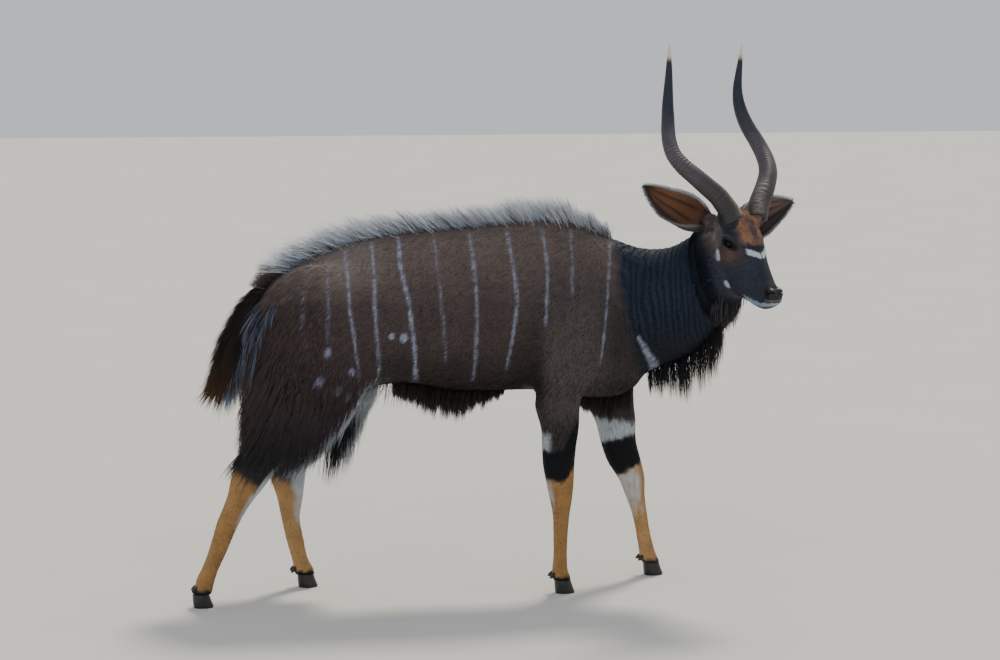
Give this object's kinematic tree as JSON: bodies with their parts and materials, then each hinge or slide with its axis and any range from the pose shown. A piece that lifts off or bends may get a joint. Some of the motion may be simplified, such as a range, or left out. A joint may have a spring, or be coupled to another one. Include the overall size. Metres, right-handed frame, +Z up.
{
  "type": "nyala antelope model",
  "caption": "Life-size walking lowland nyala bull with lyre-shaped horns, a back crest, a throat and belly fringe and a bushy tail.",
  "frame": {"origin": "middle of the footprint of the whole animal, on the ground", "axes": "+X forward along the trunk, +Y to the animal's left, +Z up"},
  "size_m": [1.7771, 0.503, 1.5816],
  "materials": {
    "coat": "short dark grey-brown hair with white stripes",
    "neck_coat": "short blue-black hair with a long fringe",
    "face_coat": "short dark and chestnut hair with white marks",
    "leg_coat": "short tan hair below, dark above",
    "tail_coat": "long dark hair with white underside",
    "ear_coat": "thin short hair, orange-brown inside",
    "horn": "ringed dark horn with pale tips",
    "hoof": "satin black horn",
    "eye": "wet and dark"
  },
  "bodies": {
    "root": {"dewclaw_fore_left_inner": "hoof", "dewclaw_fore_left_outer": "hoof", "dewclaw_fore_right_inner": "hoof", "dewclaw_fore_right_outer": "hoof", "dewclaw_hind_left_inner": "hoof", "dewclaw_hind_left_outer": "hoof", "dewclaw_hind_right_inner": "hoof", "dewclaw_hind_right_outer": "hoof", "ear_left": "ear_coat", "ear_right": "ear_coat", "eye_left": "eye", "eye_right": "eye", "head": "face_coat", "hoof_fore_left_inner": "hoof", "hoof_fore_left_outer": "hoof", "hoof_fore_right_inner": "hoof", "hoof_fore_right_outer": "hoof", "hoof_hind_left_inner": "hoof", "hoof_hind_left_outer": "hoof", "hoof_hind_right_inner": "hoof", "hoof_hind_right_outer": "hoof", "horn_left": "horn", "horn_right": "horn", "leg_fore_left": "leg_coat", "leg_fore_right": "leg_coat", "leg_hind_left": "leg_coat", "leg_hind_right": "leg_coat", "neck": "neck_coat", "tail": "tail_coat", "torso": "coat"}
  },
  "joints": []
}
